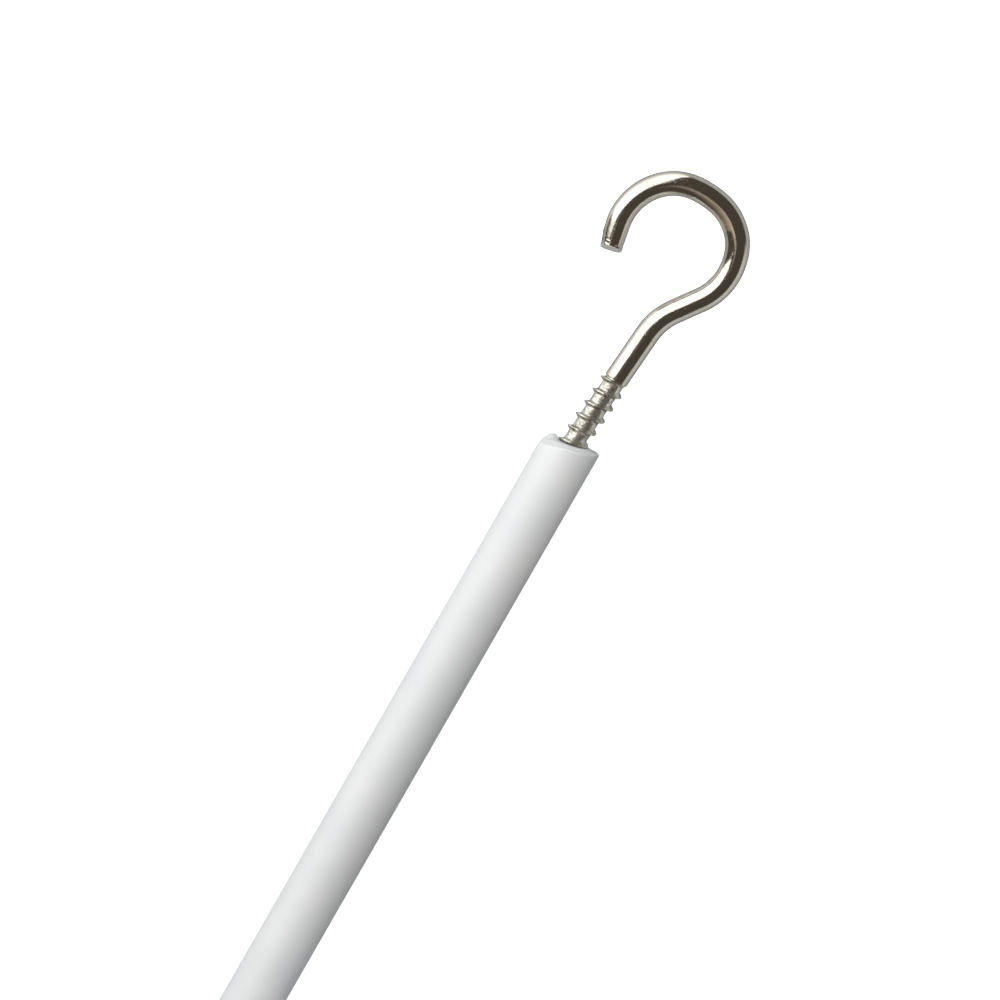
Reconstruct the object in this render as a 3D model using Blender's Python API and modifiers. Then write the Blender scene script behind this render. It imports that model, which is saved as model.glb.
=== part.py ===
"""A white plastic-sleeved steel spring line with a screw hook in each end, its spare length tied in a hank.

Metres, +Z up. The line lies on the surface at Z = 0, along X, and its near hook points to +X. The origin is
on the surface under the middle of the whole object. Places along the line are counted from the near mouth.
"""

import math

import bmesh
import bpy
from mathutils import Matrix, Vector

MM = 0.001
GAP = 0.3 * MM

# The line: a closely wound steel spring in a white plastic sleeve.
LINE_LENGTH = 1.2
LINE_R = 2.4 * MM
LINE_D = 2 * LINE_R
SLEEVE_END_LENGTH = 10 * MM
BORE_R = 1.7 * MM
LIP_R = 1.4 * MM
LIP_DEPTH = 0.8 * MM
CUT_SKEW = math.radians(13.5)

# The screw hook: bent wire with a wood-screw thread.
WIRE_R = 1.0 * MM
ROOT_R = 0.85 * MM
CREST_R = 1.2 * MM
POINT_R = 0.15 * MM
POINT_LENGTH = 2.4 * MM
THREAD_PITCH = 1.2 * MM
CREST_HALF_WIDTH = 0.21
CREST_PHASE = 0.858
THREAD_FADE = 0.3 * MM
HOOK_SIDES = 12
INSERTED = 4.8 * MM
EXPOSED_THREAD = 6.3 * MM
LEAN = math.radians(4.9)
LEAN_BEND_R = 10 * MM
SHANK_TOP = 11.0 * MM
SHOULDER_R = 5.2 * MM
SHOULDER_TURN = math.radians(31.5)
SHOULDER_RUN = 2.35 * MM
LOOP_R = 4.9 * MM
LOOP_TURN = math.radians(226.4)
TIP_RUN = 2.0 * MM

# The spring's end inside the sleeve: turns spread by the thread, then closer ones.
SPRING_WIRE_R = 0.3 * MM
SPRING_R = 1.25 * MM
SPRING_START = -1.7 * MM
SPRING_GRIP_END = -5.4 * MM
SPRING_END = -8.8 * MM
SPRING_CLOSE_PITCH = 0.8 * MM
TURN_STEPS = 12

# The hank is a long loop of five and a half turns. They run inwards over three lanes, back outwards on
# top of those, and the last half turn comes down on a lane of its own outside them.
LANES = 3
ROWS = 2
FULL_TURN_LANES = (0, 1, 2, 2, 1)
HANK_START = -70.5 * MM
OUTER_LANE_R = 24.2 * MM
FAR_MOUTH = -53.0 * MM
TIE_THICK = 0.5 * MM
TIE_WIDTH = 4.0 * MM
ARC_STEP = math.radians(12)

# Worked out from these.
INNER_LANE_R = OUTER_LANE_R - (LANES - 1) * LINE_D
FAR_LANE_Y = -2 * OUTER_LANE_R - LINE_D
HANK_BOTTOM = TIE_THICK + GAP
HANK_TOP = HANK_BOTTOM + ROWS * LINE_D
TURNS_RADII = sum(OUTER_LANE_R - lane * LINE_D for lane in FULL_TURN_LANES)
FAR_BEND_R = OUTER_LANE_R + LINE_R
BENDS_LENGTH = 2 * math.pi * TURNS_RADII + math.pi * FAR_BEND_R
ENDS_LENGTH = -HANK_START + FAR_MOUTH - HANK_START
HANK_SIDES = 2 * len(FULL_TURN_LANES) + 2
HANK_SIDE = (LINE_LENGTH - BENDS_LENGTH - ENDS_LENGTH) / HANK_SIDES
HANK_BACK = HANK_START - HANK_SIDE


def clear_scene():
    for obj in list(bpy.data.objects):
        bpy.data.objects.remove(obj, do_unlink=True)


def new_collection(name, shown=True):
    collection = bpy.data.collections.new(name)
    collection.hide_render = not shown
    bpy.context.scene.collection.children.link(collection)
    return collection


def new_material(name, colour, roughness, metallic=0.0):
    material = bpy.data.materials.new(name)
    material.use_nodes = True
    shader = material.node_tree.nodes["Principled BSDF"]
    shader.inputs["Base Color"].default_value = (*colour, 1.0)
    shader.inputs["Roughness"].default_value = roughness
    shader.inputs["Metallic"].default_value = metallic
    return material


def place(obj, collection, material=None, location=(0, 0, 0), rotation=(0, 0, 0), parent=None):
    collection.objects.link(obj)
    obj.location = location
    obj.rotation_euler = rotation
    obj.parent = parent
    if material:
        obj.data.materials.append(material)
    return obj


def new_empty(name, collection, location, parent=None):
    return place(bpy.data.objects.new(name, None), collection, location=location, parent=parent)


def wire_curve(name, points, depth, resolution, radii=None):
    """A round wire through the points. Radii scale it point by point."""
    curve = bpy.data.curves.new(name, "CURVE")
    curve.dimensions = "3D"
    curve.twist_mode = "Z_UP"
    curve.bevel_depth = depth
    curve.bevel_resolution = resolution
    curve.use_fill_caps = True
    spline = curve.splines.new("POLY")
    spline.points.add(len(points) - 1)
    for index, point in enumerate(points):
        spline.points[index].co = (*point, 1.0)
        spline.points[index].radius = radii[index] if radii else 1.0
    return bpy.data.objects.new(name, curve)


def flat_curve(name, outlines, height):
    """A plate of that height, in the plane of its outlines. The second outline is a hole."""
    curve = bpy.data.curves.new(name, "CURVE")
    curve.dimensions = "2D"
    curve.fill_mode = "BOTH"
    curve.extrude = height / 2
    for outline in outlines:
        spline = curve.splines.new("POLY")
        spline.points.add(len(outline) - 1)
        for index, (x, y) in enumerate(outline):
            spline.points[index].co = (x, y, 0.0, 1.0)
        spline.use_cyclic_u = True
    return bpy.data.objects.new(name, curve)


def meshed(obj, name):
    """The curve or modified object as one closed mesh of triangles with no modifiers. The original goes."""
    bpy.context.view_layer.update()
    graph = bpy.context.evaluated_depsgraph_get()
    mesh = bpy.data.meshes.new_from_object(obj.evaluated_get(graph), depsgraph=graph)
    shell = bmesh.new()
    shell.from_mesh(mesh)
    bmesh.ops.remove_doubles(shell, verts=shell.verts, dist=0.001 * MM)
    bmesh.ops.recalc_face_normals(shell, faces=shell.faces)
    bmesh.ops.triangulate(shell, faces=shell.faces)
    shell.to_mesh(mesh)
    shell.free()
    made = bpy.data.objects.new(name, mesh)
    made.matrix_world = obj.matrix_world
    bpy.data.objects.remove(obj, do_unlink=True)
    return made


def add_boolean(obj, other, operation):
    boolean = obj.modifiers.new(operation.title(), "BOOLEAN")
    boolean.operation = operation
    boolean.solver = "EXACT"
    boolean.object = other


def hide_helper(obj):
    obj.hide_render = True
    obj.display_type = "WIRE"


class Path:
    """A flat path in the YZ plane of straight runs and arcs, as stations: (point, heading, distance)."""

    def __init__(self, start):
        self.stations = [(Vector((0, 0, start)), 0.0, start)]

    def run(self, length, step):
        point, heading, distance = self.stations[-1]
        ahead = Vector((0, -math.sin(heading), math.cos(heading)))
        pieces = max(1, round(length / step))
        for n in range(1, pieces + 1):
            gone = length * n / pieces
            self.stations.append((point + ahead * gone, heading, distance + gone))

    def arc(self, radius, turn, step):
        """Turns towards -Y when turn is positive."""
        point, first, distance = self.stations[-1]
        side = math.copysign(radius, turn)
        pieces = max(1, round(radius * abs(turn) / step))
        for n in range(1, pieces + 1):
            heading = first + turn * n / pieces
            across = side * (math.cos(first) - math.cos(heading))
            along = side * (math.sin(heading) - math.sin(first))
            gone = radius * abs(turn) * n / pieces
            self.stations.append((point + Vector((0, -across, along)), heading, distance + gone))


def hook_path():
    """The hook's centreline, from the point of its screw to its tip. Distance 0 is at the sleeve's mouth."""
    fine = THREAD_PITCH / HOOK_SIDES
    bend_half = LEAN_BEND_R * LEAN / 2
    path = Path(-INSERTED)
    path.run(INSERTED - bend_half, fine)
    path.arc(LEAN_BEND_R, LEAN, fine)
    path.run(EXPOSED_THREAD + THREAD_FADE - bend_half, fine)
    path.run(SHANK_TOP - EXPOSED_THREAD - THREAD_FADE, WIRE_R * 3)
    path.arc(SHOULDER_R, SHOULDER_TURN, WIRE_R)
    path.run(SHOULDER_RUN, WIRE_R * 3)
    path.arc(LOOP_R, -LOOP_TURN, WIRE_R)
    path.run(TIP_RUN, WIRE_R * 3)
    return path.stations


def hook_radius(distance, angle):
    """Plain wire past the thread. Along the thread, a root with a sharp crest that rises once a turn.

    At the mouth the crest is CREST_PHASE of a turn short of angle 0.
    """
    if distance > EXPOSED_THREAD + THREAD_FADE:
        return WIRE_R
    from_point = distance + INSERTED
    root = POINT_R + (ROOT_R - POINT_R) * min(1.0, from_point / POINT_LENGTH)
    fade = min(1.0, max(0.0, (distance - EXPOSED_THREAD) / THREAD_FADE))
    root += (WIRE_R - root) * fade
    turn = distance / THREAD_PITCH - angle / (2 * math.pi)
    from_crest = abs((turn - CREST_PHASE + 0.5) % 1.0 - 0.5)
    rise = max(0.0, 1.0 - from_crest / CREST_HALF_WIDTH)
    height = (CREST_R - ROOT_R) * min(1.0, from_point / POINT_LENGTH) * (1.0 - fade)
    return root + height * rise


def hook_mesh():
    """The bent wire with its thread, lofted through round sections. Both hooks share it."""
    shape = bmesh.new()
    angles = [2 * math.pi * k / HOOK_SIDES for k in range(HOOK_SIDES)]
    rings = []
    for point, heading, distance in hook_path():
        across = Vector((0, math.cos(heading), math.sin(heading)))
        ring = []
        for angle in angles:
            outward = Vector((math.cos(angle), 0, 0)) + across * math.sin(angle)
            ring.append(shape.verts.new(point + outward * hook_radius(distance, angle)))
        rings.append(ring)
    for low, high in zip(rings, rings[1:]):
        for k in range(HOOK_SIDES):
            after = (k + 1) % HOOK_SIDES
            shape.faces.new((low[k], low[after], high[after], high[k]))
    shape.faces.new(list(reversed(rings[0])))
    shape.faces.new(rings[-1])
    mesh = bpy.data.meshes.new("HookShape")
    shape.to_mesh(mesh)
    shape.free()
    mesh.shade_smooth()
    mesh.set_sharp_from_angle(angle=math.radians(40))
    return mesh


def spring_points():
    """Turns that hold the thread between them, half a turn from its crest, then closer turns deeper in."""
    grip_turns = (SPRING_START - SPRING_GRIP_END) / THREAD_PITCH
    close_turns = (SPRING_GRIP_END - SPRING_END) / SPRING_CLOSE_PITCH
    start_angle = 2 * math.pi * (SPRING_START / THREAD_PITCH - CREST_PHASE + 0.5)
    count = round((grip_turns + close_turns) * TURN_STEPS)
    points = []
    for n in range(count + 1):
        turns = n / TURN_STEPS
        angle = start_angle - 2 * math.pi * turns
        gripped = min(turns, grip_turns)
        z = SPRING_START - gripped * THREAD_PITCH - (turns - gripped) * SPRING_CLOSE_PITCH
        points.append(Vector((SPRING_R * math.cos(angle), SPRING_R * math.sin(angle), z)))
    return points


def sleeve_end(name, cutters):
    """The sleeve's last stretch: hollow, with a lip that closes in on the hook, cut a little askew."""
    over = LINE_D * math.tan(CUT_SKEW)
    profile = [
        (LINE_R, over),
        (LINE_R, -SLEEVE_END_LENGTH),
        (BORE_R, -SLEEVE_END_LENGTH),
        (BORE_R, -LIP_DEPTH - over / 2),
        (LIP_R, -LIP_DEPTH + BORE_R - LIP_R - over / 2),
        (LIP_R, over),
    ]
    mesh = bpy.data.meshes.new(name)
    edges = [(n, (n + 1) % len(profile)) for n in range(len(profile))]
    mesh.from_pydata([(x, 0, z) for x, z in profile], edges, [])
    obj = bpy.data.objects.new(name, mesh)
    screw = obj.modifiers.new("Turn", "SCREW")
    screw.axis = "Z"
    screw.steps = 28
    screw.render_steps = 28
    screw.use_merge_vertices = True
    screw.merge_threshold = 0.001 * MM
    cutter = box(name + "_Cut", (2 * LINE_D, 2 * LINE_D, LINE_D))
    cutter.data.transform(Matrix.Rotation(-CUT_SKEW, 4, "X") @ Matrix.Translation((0, 0, LINE_D / 2)))
    place(cutter, cutters)
    hide_helper(cutter)
    add_boolean(obj, cutter, "DIFFERENCE")
    return obj, cutter


def box(name, size):
    shape = bmesh.new()
    bmesh.ops.create_cube(shape, size=1.0)
    bmesh.ops.scale(shape, vec=size, verts=shape.verts)
    mesh = bpy.data.meshes.new(name)
    shape.to_mesh(mesh)
    shape.free()
    return bpy.data.objects.new(name, mesh)


def arc_points(centre, radius, first, last):
    count = math.ceil(abs(last - first) / ARC_STEP)
    angles = [first + (last - first) * n / count for n in range(count + 1)]
    return [(centre[0] + radius * math.cos(a), centre[1] + radius * math.sin(a)) for a in angles]


def hank_outlines():
    """The bundle of turns seen from above: its outside, and the window in its middle."""
    quarter = math.pi / 2
    back = (HANK_BACK, FAR_LANE_Y / 2)
    front = (HANK_START, -OUTER_LANE_R)
    outside = arc_points(back, -FAR_LANE_Y / 2 + LINE_R, quarter, 3 * quarter)
    outside.append((HANK_START, FAR_LANE_Y - LINE_R))
    outside += arc_points(front, OUTER_LANE_R + LINE_R, -quarter, quarter)
    window_r = INNER_LANE_R - LINE_R
    window = arc_points((HANK_BACK, -OUTER_LANE_R), window_r, quarter, 3 * quarter)
    window += arc_points(front, window_r, -quarter, quarter)
    return [outside, window]


def rounded_box(width, height, radius):
    """A rectangle with round corners, about its own middle."""
    quarter = math.pi / 2
    points = []
    for n, (sx, sy) in enumerate([(1, 1), (-1, 1), (-1, -1), (1, -1)]):
        corner = (sx * (width / 2 - radius), sy * (height / 2 - radius))
        points += arc_points(corner, radius, n * quarter, (n + 1) * quarter)
    return points


def tie(name, low_y, high_y):
    """A flat tie round one side of the hank."""
    inner_w = high_y - low_y + 2 * GAP
    inner_h = HANK_TOP - HANK_BOTTOM + 2 * GAP
    inner = rounded_box(inner_w, inner_h, 0.2 * MM)
    outer = rounded_box(inner_w + 2 * TIE_THICK, inner_h + 2 * TIE_THICK, 0.7 * MM)
    return flat_curve(name, [outer, inner], TIE_WIDTH)


def straight_line(name, first, last):
    """A stretch of the covered line, along X."""
    pieces = max(1, round(abs(last - first) / (2.5 * LINE_D)))
    points = [(first + (last - first) * n / pieces, 0, 0) for n in range(pieces + 1)]
    return wire_curve(name, points, LINE_R, 4)


def main():
    clear_scene()
    parts = new_collection("SpringLine")
    cutters = new_collection("Cutters", shown=False)
    sleeve = new_material("WhiteSleeve", (0.80, 0.81, 0.81), 0.38)
    nickel = new_material("NickelWire", (0.66, 0.64, 0.60), 0.14, 1.0)
    steel = new_material("SpringSteel", (0.42, 0.42, 0.42), 0.35, 1.0)
    tie_plastic = new_material("TiePlastic", (0.86, 0.86, 0.84), 0.5)

    hook_points = [point for point, heading, distance in hook_path()]
    high_x = max(point.z for point in hook_points) + WIRE_R
    low_x = HANK_BACK + FAR_LANE_Y / 2 - LINE_R
    high_y = max(point.y for point in hook_points) + WIRE_R
    low_y = min(point.y for point in hook_points) - WIRE_R + FAR_LANE_Y
    middle = Vector((-(high_x + low_x) / 2, -(high_y + low_y) / 2, 0))
    whole = new_empty("Line", parts, middle)
    axis_z = LINE_R
    hook_shape = hook_mesh()
    spring_coil = meshed(wire_curve("SpringShape", spring_points(), SPRING_WIRE_R, 1), "SpringShape").data
    along_x = (0, math.pi / 2, 0)

    ends = {"near": (0, 0), "far": (FAR_MOUTH, FAR_LANE_Y)}
    for side, (x, y) in ends.items():
        mouth = new_empty(side + "_mouth", parts, (x, y, axis_z), whole)
        place(bpy.data.objects.new(side + "_hook", hook_shape), parts, None, rotation=along_x, parent=mouth)
        spring = bpy.data.objects.new(side + "_spring_end", spring_coil)
        place(spring, parts, None, rotation=along_x, parent=mouth)
        shell, cutter = sleeve_end(side + "_sleeve_end", cutters)
        place(shell, parts, sleeve, rotation=along_x, parent=mouth)
        cutter.parent = mouth
        cutter.rotation_euler = along_x
    hook_shape.materials.append(nickel)
    spring_coil.materials.append(steel)

    near_clear = math.sqrt((OUTER_LANE_R + LINE_R) ** 2 - (OUTER_LANE_R - LINE_R) ** 2)
    near_run = straight_line("near_run", HANK_START + near_clear + GAP, -SLEEVE_END_LENGTH - GAP)
    place(near_run, parts, sleeve, (0, 0, axis_z), parent=whole)
    far_run = straight_line("far_run", HANK_START + GAP, FAR_MOUTH - SLEEVE_END_LENGTH - GAP)
    place(far_run, parts, sleeve, (0, FAR_LANE_Y, axis_z), parent=whole)

    hank_z = (HANK_BOTTOM + HANK_TOP) / 2
    hank = flat_curve("line_hank", hank_outlines(), HANK_TOP - HANK_BOTTOM)
    place(hank, parts, sleeve, (0, 0, hank_z), parent=whole)

    tie_x = (HANK_START + HANK_BACK) / 2
    inner_y = INNER_LANE_R - LINE_R
    sides = {
        "near_tie": (-OUTER_LANE_R + inner_y, LINE_R),
        "far_tie": (FAR_LANE_Y - LINE_R, -OUTER_LANE_R - inner_y),
    }
    for name, (low, high) in sides.items():
        band = tie(name, low, high)
        place(band, parts, tie_plastic, (tie_x, (low + high) / 2, hank_z), (math.pi / 2, 0, math.pi / 2), whole)


main()
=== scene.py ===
"""The looks of a spring clothesline: a white sleeved spring line with a screw hook turned into each end.

Metres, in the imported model's own frame: the line lies along X on the surface at Z = 0. A distance along a
hook or a line's end is counted from the mouth, where the hook goes in, and is positive towards the hook. A
hook and a mouth are made in a frame of their own, with the line's axis along +Z and the hook flat in the YZ
plane.
"""

import math

import bmesh
import bpy
from mathutils import Matrix, Vector, noise


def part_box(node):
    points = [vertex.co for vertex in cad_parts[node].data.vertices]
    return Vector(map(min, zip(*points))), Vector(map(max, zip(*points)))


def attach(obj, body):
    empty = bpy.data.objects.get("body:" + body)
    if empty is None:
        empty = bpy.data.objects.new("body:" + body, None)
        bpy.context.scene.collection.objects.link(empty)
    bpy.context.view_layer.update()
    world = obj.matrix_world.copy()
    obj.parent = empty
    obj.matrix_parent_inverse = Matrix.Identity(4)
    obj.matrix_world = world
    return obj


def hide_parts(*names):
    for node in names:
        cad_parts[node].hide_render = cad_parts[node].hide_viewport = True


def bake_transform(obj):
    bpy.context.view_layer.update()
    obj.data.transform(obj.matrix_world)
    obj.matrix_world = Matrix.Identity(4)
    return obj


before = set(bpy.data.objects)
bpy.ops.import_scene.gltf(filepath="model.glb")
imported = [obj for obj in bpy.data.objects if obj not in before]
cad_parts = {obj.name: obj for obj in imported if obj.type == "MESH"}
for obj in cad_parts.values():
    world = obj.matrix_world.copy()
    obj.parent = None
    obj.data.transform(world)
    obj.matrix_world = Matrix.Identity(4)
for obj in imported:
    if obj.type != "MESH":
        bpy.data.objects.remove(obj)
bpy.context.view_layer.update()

MM = 0.001
GAP = 0.3 * MM

# The line's end and the hook, as in the CAD model.
SLEEVE_END_LENGTH = 10 * MM
BORE_R = 1.7 * MM
CUT_SKEW = math.radians(13.5)
WIRE_R = 1.0 * MM
ROOT_R = 0.85 * MM
CREST_R = 1.2 * MM
POINT_R = 0.15 * MM
POINT_LENGTH = 2.4 * MM
THREAD_PITCH = 1.2 * MM
CREST_PHASE = 0.858
THREAD_FADE = 0.3 * MM
INSERTED = 4.8 * MM
EXPOSED_THREAD = 6.3 * MM
LEAN = math.radians(4.5)
LEAN_BEND_R = 10 * MM
SHANK_TOP = 11.0 * MM
SHOULDER_R = 5.2 * MM
SHOULDER_TURN = math.radians(31.5)
SHOULDER_RUN = 2.35 * MM
LOOP_R = 4.9 * MM
LOOP_TURN = math.radians(226.4)
TIP_RUN = 2.35 * MM
SPRING_WIRE_R = 0.3 * MM
SPRING_R = 1.25 * MM
SPRING_START = -1.7 * MM
SPRING_GRIP_END = -5.4 * MM
SPRING_END = -8.8 * MM
SPRING_CLOSE_PITCH = 0.8 * MM
SPRING_STEPS = 24
SPRING_SIDES = 10

# The thread's finer shape.
CREST_FLAT = 0.035 * MM
CREST_FOOT = 0.25 * MM
FLANK_CURVE = 1.3

# The hook's mesh. The attribute holds each point's place on the wire before it was bent, for the textures.
HOOK_SIDES = 40
SHANK_STEP = 0.2 * MM
TIP_STEP = 0.07 * MM
HOOK_EDGE = math.radians(42)
STRAIGHTENED = "straightened"

# How uneven the hook's surface is, and how fine that is: on the rolled thread, on the drawn wire, and on top
# of that near the tip.
THREAD_UNEVEN = 0.02 * MM
THREAD_GRAIN = 1.9
WIRE_UNEVEN = 0.004 * MM
WIRE_GRAIN = 0.7
TIP_UNEVEN = 0.02 * MM
TIP_GRAIN = 3.1

# The loop is bent over a former and springs back, so it isn't a true circle. In millimetres: the distance,
# how far the fault reaches along the wire, and how far the wire is off inwards.
OFF_ROUND = [(22.0, 1.3, -0.05), (26.7, 2.1, 0.18)]

# The tip is sheared: its upper side is cut back further. The sheared face's rings are shares of the wire's
# radius, each with its millimetres below the rim.
SHEAR = 0.6 * MM
SHEAR_REACH = 1.2 * MM
TIP_FACE = [(0.96, -0.03), (0.6, -0.02), (0.2, 0.03)]
TIP_FACE_UNEVEN_MM = 0.09
TIP_FACE_GRAIN = 1900

# Dents in the wire. In millimetres and degrees: distance back from the tip, angle round the wire (180 faces
# up), size and depth.
NICKS = [
    (0.12, 256, 0.15, 0.16),
    (0.45, 274, 0.15, 0.14),
    (0.75, 250, 0.13, 0.07),
    (1.05, 272, 0.16, 0.14),
    (1.45, 258, 0.15, 0.09),
    (1.90, 266, 0.22, 0.08),
    (0.10, 150, 0.25, 0.10),
    (10.7, 250, 0.12, 0.06),
    (10.2, 232, 0.10, 0.03),
    (11.2, 214, 0.10, 0.02),
    (13.7, 140, 0.16, 0.03),
    (14.2, 160, 0.12, 0.03),
    (14.9, 150, 0.12, 0.03),
    (25.6, 235, 0.14, 0.02),
]

# The shear has also flattened the outer side behind the tip.
FLAT_AT = math.radians(262)
FLAT_WIDTH = 0.6
FLAT_REACH = 1.9 * MM
FLAT_DEPTH = 0.30 * MM

# The line's mesh.
LINE_SIDES = 36
LINE_EDGE = math.radians(50)

# The sleeve's mouth. Its bore closes in on the hook's thread over the tapped depth and stands up round it as
# a lip, whose rings are shares of its height, each with its millimetres from the thread.
BORE_BOTTOM_R = 0.1 * MM
BORE_TAPER = 0.5 * MM
BORE_SKEW = 0.7
TAPPED_GAP = 0.02 * MM
TAPPED_DEPTH = 1.0 * MM
TAPPED_END = 0.06 * MM
TAPPED_RINGS = 14
LIP_RAISED = 0.26 * MM
LIP_RINGS = [(0.75, 0.05), (1.0, 0.16)]

# The face, from the thread's crest (0) to the rounded rim (1), and the rings below the rim in millimetres,
# over which the slant of the cut dies out.
FACE_RINGS = (0.35, 0.5, 0.65, 0.82)
FACE_ROUND = 0.14 * MM
FACE_ROUND_STEPS = 6
FACE_UNEVEN = 0.05 * MM
FACE_GRAIN = 600
SIDE_RINGS_MM = (0.5, 0.8, 1.2, 1.7, 2.3, 3.0, 3.8, 4.7)
SKEW_REACH = 5.0 * MM

# The knife pressed the rim down on one side and left a burr below it: the burr's angle round the mouth, how
# far round it goes, its height and its depth. Each starts at a share of the sleeve's radius.
BURR_AT = math.radians(55)
BURR_WIDTH = math.radians(19)
BURR_HEIGHT = 0.62 * MM
BURR_DEPTH = 1.0 * MM
BURR_FROM = 0.62
BURR_FULL = 0.9
PRESSED = 0.3 * MM
PRESSED_DEPTH = 0.8 * MM
PRESSED_FROM = 0.75

# The hank: each turn's lane and row, those it moves to on its far side, and the lane it takes at the front.
HANK_BOTTOM = 0.6 * MM
LANE_ROOM = 1.01
TURNS = [
    (0, 0, 0, 0, 1),
    (1, 0, 1, 0, 2),
    (2, 0, 2, 1, 2),
    (2, 1, 1, 1, 1),
    (1, 1, 0, 1, 0),
]
ROUTE_STEP = 2.0 * MM

# Where along a stretch the strands change places, as shares of it. On the hank's far side a strand has
# changed its lane by the first and starts to change its row at the second. On the upper row each lane further
# out is a little ahead. In the front bend a strand changes its lane between two shares.
LANE_CHANGED = 0.65
ROW_CHANGES = 0.25
UPPER_LEAD = 0.04
BEND_CHANGES = (0.1, 0.9)

# The near run starts to rise from the surface into the hank at this share of its length, and the far run has
# come down from the hank by this one.
NEAR_RISES = 0.75
FAR_RESTS = 0.5


# Places, from the CAD model.
def mouth_beyond(node):
    """The mouth of the line's end that follows this straight stretch."""
    low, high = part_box(node)
    return Vector((high.x + GAP + SLEEVE_END_LENGTH, (low.y + high.y) / 2, (low.z + high.z) / 2))


NEAR_MOUTH = mouth_beyond("near_run")
FAR_MOUTH = mouth_beyond("far_run")
LINE_R = NEAR_MOUTH.z
LINE_D = 2 * LINE_R
HANK_LOW, HANK_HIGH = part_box("line_hank")
HANK_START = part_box("far_run")[0].x - GAP
OUTER_LANE_R = HANK_HIGH.x - HANK_START - LINE_R
HANK_Y = NEAR_MOUTH.y - OUTER_LANE_R
HANK_BACK = HANK_LOW.x + (NEAR_MOUTH.y - FAR_MOUTH.y) / 2 + LINE_R
TIE_X = (HANK_START + HANK_BACK) / 2
ALONG_X = Matrix.Rotation(math.pi / 2, 4, "Y")


def eased(share, first=0.0, last=1.0):
    """0 before first, 1 after last, and smooth between them."""
    t = min(1.0, max(0.0, (share - first) / (last - first)))
    return t * t * (3 - 2 * t)


def mix(a, b, share):
    return a + (b - a) * share


def link(obj, matrix=None):
    bpy.context.scene.collection.objects.link(obj)
    if matrix:
        obj.matrix_world = matrix
    return obj


# The camera looks down on the near end, from a little towards the hook.
VIEW_TURN = math.radians(-60.2)
VIEW_TILT = math.radians(9)
VIEW_DISTANCE = 0.46
VIEW_WIDTH = 0.0807
VIEW_CENTRE = Vector((-6.66 * MM, 2.77 * MM, 0))
SENSOR_MM = 36


def add_camera():
    data = bpy.data.cameras.new("Camera")
    data.sensor_width = SENSOR_MM
    data.lens = SENSOR_MM * VIEW_DISTANCE / VIEW_WIDTH
    data.clip_start = 0.01
    turn = Matrix.Rotation(VIEW_TILT, 4, "Y") @ Matrix.Rotation(VIEW_TURN, 4, "Z")
    back = turn @ Vector((0, 0, VIEW_DISTANCE))
    camera = bpy.data.objects.new("Camera", data)
    link(camera, Matrix.Translation(NEAR_MOUTH + VIEW_CENTRE + back) @ turn)
    bpy.context.scene.camera = camera


# The line's route.
def stretch(place, length):
    """Points along place(0) to place(1), without the first one."""
    count = max(2, round(length / ROUTE_STEP))
    return [Vector(place(n / count)) for n in range(1, count + 1)]


def strand_z(row):
    return HANK_BOTTOM + LINE_R + row * LINE_D * LANE_ROOM


def lane_r(lane):
    return OUTER_LANE_R - lane * LINE_D * LANE_ROOM


def round_loop(centre_x, first, radius, height):
    """A half turn about the hank's middle line. Radius and height are functions of the share of it done."""
    def place(share):
        angle = first + math.pi * share
        r = radius(share)
        return (centre_x + r * math.cos(angle), HANK_Y + r * math.sin(angle), height(share))
    return stretch(place, math.pi * radius(0.5))


def hank_route():
    """Five turns, inwards on the lower row and back outwards on the upper one, and a half turn down."""
    side = HANK_START - HANK_BACK
    quarter = math.pi / 2
    points = []
    for lane, row, side_lane, side_row, front_lane in TURNS:
        r, z = lane_r(lane), strand_z(row)
        lead = UPPER_LEAD * row * (2 - lane)
        points += stretch(lambda s: (mix(HANK_START, HANK_BACK, s), HANK_Y + r, z), side)
        points += round_loop(HANK_BACK, quarter, lambda s: r, lambda s: z)
        points += stretch(
            lambda s: (
                mix(HANK_BACK, HANK_START, s),
                HANK_Y - mix(r, lane_r(side_lane), eased(s + lead, 0, LANE_CHANGED)),
                mix(z, strand_z(side_row), eased(s, ROW_CHANGES, 1)),
            ),
            side,
        )
        points += round_loop(
            HANK_START,
            3 * quarter,
            lambda s: mix(lane_r(side_lane), lane_r(front_lane), eased(s, *BEND_CHANGES)),
            lambda s: strand_z(side_row),
        )
    lift = strand_z(1) - strand_z(0)
    out = HANK_Y - FAR_MOUTH.y - OUTER_LANE_R
    points += stretch(lambda s: (mix(HANK_START, HANK_BACK, s), NEAR_MOUTH.y, strand_z(1)), side)
    points += round_loop(
        HANK_BACK,
        quarter,
        lambda s: OUTER_LANE_R + out * math.sin(quarter * eased(s)),
        lambda s: strand_z(0) + lift * math.cos(quarter * eased(s)),
    )
    points += stretch(lambda s: (mix(HANK_BACK, HANK_START, s), FAR_MOUTH.y, strand_z(0)), side)
    return points


def line_route():
    """The middle of the line from its near mouth to its far one."""
    near_y, far_y, rest_z, low_z = NEAR_MOUTH.y, FAR_MOUTH.y, LINE_R, strand_z(0)
    near_run = NEAR_MOUTH.x - HANK_START
    far_run = FAR_MOUTH.x - HANK_START
    points = [NEAR_MOUTH.copy()]
    points += stretch(
        lambda s: (mix(NEAR_MOUTH.x, HANK_START, s), near_y, mix(rest_z, low_z, eased(s, NEAR_RISES, 1))),
        near_run,
    )
    points += hank_route()
    points += stretch(
        lambda s: (mix(HANK_START, FAR_MOUTH.x, s), far_y, mix(low_z, rest_z, eased(s, 0, FAR_RESTS))),
        far_run,
    )
    return points


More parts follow.
